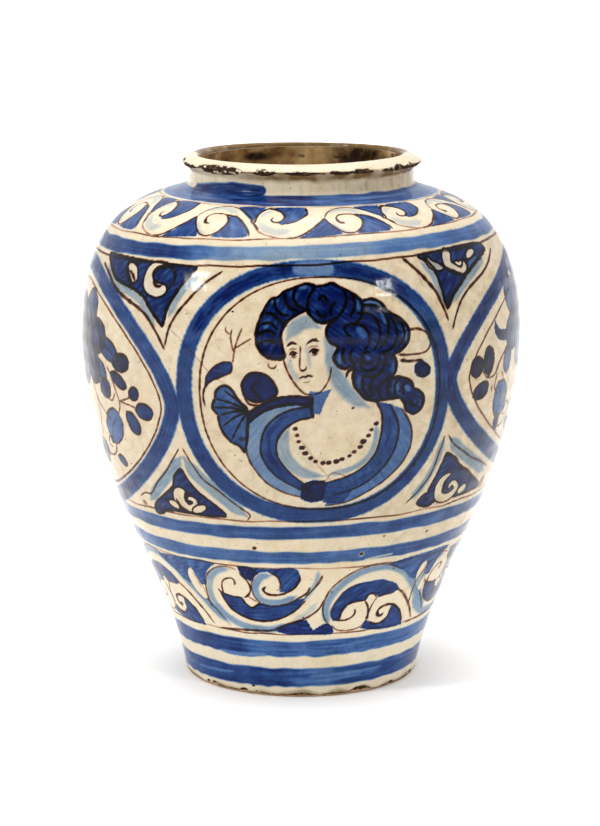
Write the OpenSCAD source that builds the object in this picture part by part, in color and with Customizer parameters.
// Ovoid apothecary jar in tin-glazed earthenware.
// One wheel-thrown clay vessel with a wide mouth and a turned-out lip, and the three coats of
// glaze that are fired on to it. The coats are separate solids that lie face to face on the clay.
// Origin: centre of the standing face. +Z runs up the axis of the wheel, -Y faces the front panel.

/* [Vessel] */
// Height from the standing face to the top of the lip
jar_h = 300; // [280:1:330]
// Radius of the glazed wall just above the standing face
foot_r = 67; // [60:0.5:72]
// Largest radius, at the belly
belly_r = 124.7; // [118:0.1:132]
// Height of the largest radius
belly_z = 197; // [185:1:205]
// Outer radius of the short straight neck
neck_r = 63; // [62:0.5:66]
// Radius of the straight bore inside the neck
mouth_r = 57.8; // [54:0.1:58.5]
// Radius of the lip's outer edge, under which a cover is tied down
lip_r = 67; // [66:0.5:70]

/* [Walls] */
// Clay thickness of the floor
floor_t = 12; // [9:0.5:16]
// Clay thickness just above the floor
foot_wall = 10; // [8:0.5:12]
// Clay thickness at the belly and the shoulder
belly_wall = 7; // [5.5:0.5:8]

/* [Glaze] */
// Thickness of the white tin glaze outside and on the lip
outer_glaze_t = 0.7; // [0.4:0.1:1]
// Thickness of the brown lead glaze inside
inner_glaze_t = 0.5; // [0.3:0.1:0.8]
// Height of the strip above the standing face that was wiped bare
bare_foot = 1.6; // [1:0.1:3]

/* [Hidden] */

curve_steps = 26;      // straight lines in each long curve of the wall
corner_steps = 7;      // straight lines in each small rounding
turn_facets = 180;     // facets of a full turn in OpenSCAD's own preview

shoulder_z = jar_h - 16;    // foot of the neck
lip_z = jar_h - 5;          // height of the lip's outer edge
bore_top = jar_h - 2.5;     // top of the straight bore
bore_bottom = jar_h - 21;   // bottom of the straight bore
rim_bare = 0.9;             // strip of worn clay between the outer glaze and the lip's glaze
bore_run = 0.3;             // how much thicker the inner glaze is at the bottom of the bore
floor_corner = 16;          // reach of the rounding between floor and wall

// Points of a cubic Bezier curve with control points p, without its first point.
function bezier(p, n) = [
    for (i = [1:n])
        let (t = i / n, u = 1 - t)
        u * u * u * p[0] + 3 * u * u * t * p[1] + 3 * u * t * t * p[2] + t * t * t * p[3]
];

// Unit vector to the right of the way the path runs at its point i.
function right_of(path, i) =
    let (way = path[min(i + 1, len(path) - 1)] - path[max(i - 1, 0)])
    [way[1], -way[0]] / norm(way);

// The path moved to its left by t.
function inset(path, t) = [for (i = [0:len(path) - 1]) path[i] - t * right_of(path, i)];

function reversed(path) = [for (i = [len(path) - 1:-1:0]) path[i]];

// The glazed outside, from the foot up to the lip's edge: lower wall, shoulder, neck and flare.
lower_wall = bezier([[foot_r, 0], [foot_r + 6, belly_z * 0.27], [belly_r, belly_z * 0.6],
    [belly_r, belly_z]], curve_steps);
shoulder = bezier([[belly_r, belly_z], [belly_r, shoulder_z - 1], [neck_r + 10, shoulder_z - 8.5],
    [neck_r + 0.4, shoulder_z]], curve_steps);
neck = concat(
    bezier([[neck_r + 0.4, shoulder_z], [neck_r + 0.1, shoulder_z + 0.4],
        [neck_r, shoulder_z + 1.2], [neck_r, shoulder_z + 2.5]], corner_steps),
    bezier([[neck_r, shoulder_z + 6], [neck_r, shoulder_z + 8], [lip_r - 2, lip_z - 2],
        [lip_r, lip_z]], corner_steps));
outside = concat([[foot_r + bare_foot * 0.11, bare_foot]], lower_wall, shoulder, neck);

// The glazed top of the lip, which slopes up and in to the mouth.
lip_top = concat([[lip_r - 0.1, lip_z + rim_bare]],
    bezier([[lip_r - 0.1, lip_z + rim_bare], [lip_r - 0.6, lip_z + 2.2],
        [mouth_r + 4, jar_h], [mouth_r + 2.2, jar_h]], corner_steps),
    bezier([[mouth_r + 2.2, jar_h], [mouth_r + 1, jar_h], [mouth_r, jar_h - 1],
        [mouth_r, bore_top]], corner_steps));

// The clay lies under the outside and under the lip's top by the glaze's thickness.
outside_clay = inset(outside, outer_glaze_t);
lip_clay = inset(lip_top, outer_glaze_t);

// The clay of the cavity, from the bore down to the middle of the floor.
bore_clay_r = mouth_r + inner_glaze_t;
cavity_corner_r = foot_r + 4 - foot_wall;
cavity_clay = concat(
    [[bore_clay_r, bore_top], [bore_clay_r + bore_run, bore_bottom]],
    bezier([[bore_clay_r + bore_run, bore_bottom], [bore_clay_r + 8, bore_bottom - 8],
        [belly_r - belly_wall, shoulder_z - 5], [belly_r - belly_wall, belly_z]], curve_steps),
    bezier([[belly_r - belly_wall, belly_z], [belly_r - belly_wall, belly_z * 0.62],
        [cavity_corner_r + 8, belly_z * 0.26], [cavity_corner_r, floor_t + floor_corner]],
        curve_steps),
    bezier([[cavity_corner_r, floor_t + floor_corner], [cavity_corner_r - 2, floor_t + 3],
        [cavity_corner_r - 8, floor_t], [cavity_corner_r - floor_corner, floor_t]],
        corner_steps));
cavity_glaze = concat(
    [[mouth_r, bore_top], [mouth_r, bore_bottom]],
    [for (i = [2:len(cavity_clay) - 2])
        cavity_clay[i] + inner_glaze_t * right_of(cavity_clay, i)],
    [[cavity_corner_r - floor_corner, floor_t + inner_glaze_t]]);

module turned(outline) {
    rotate_extrude($fn = turn_facets) polygon(outline);
}

// The thrown vessel: floor, wall, neck and lip in one piece of fired clay.
module clay_body() {
    foot_edge = outside_clay[0];
    color("sandybrown") turned(concat(
        [[0, 0], [foot_edge[0] - bare_foot, 0]],
        outside_clay,
        lip_clay,
        cavity_clay,
        [[0, floor_t]]));
}

// White tin glaze over the outside, from the wiped foot to the lip's edge.
module outer_glaze() {
    color("ivory") turned(concat(outside, reversed(outside_clay)));
}

// White tin glaze on the lip, parted from the outer coat by a strip of worn clay.
module lip_glaze() {
    color("cornsilk") turned(concat(lip_top, reversed(lip_clay)));
}

// Brown lead glaze that seals the inside, from the bore to the floor.
module inner_glaze() {
    color("peru") turned(concat(
        cavity_glaze,
        [[0, floor_t + inner_glaze_t], [0, floor_t]],
        reversed(cavity_clay)));
}

clay_body();
outer_glaze();
lip_glaze();
inner_glaze();
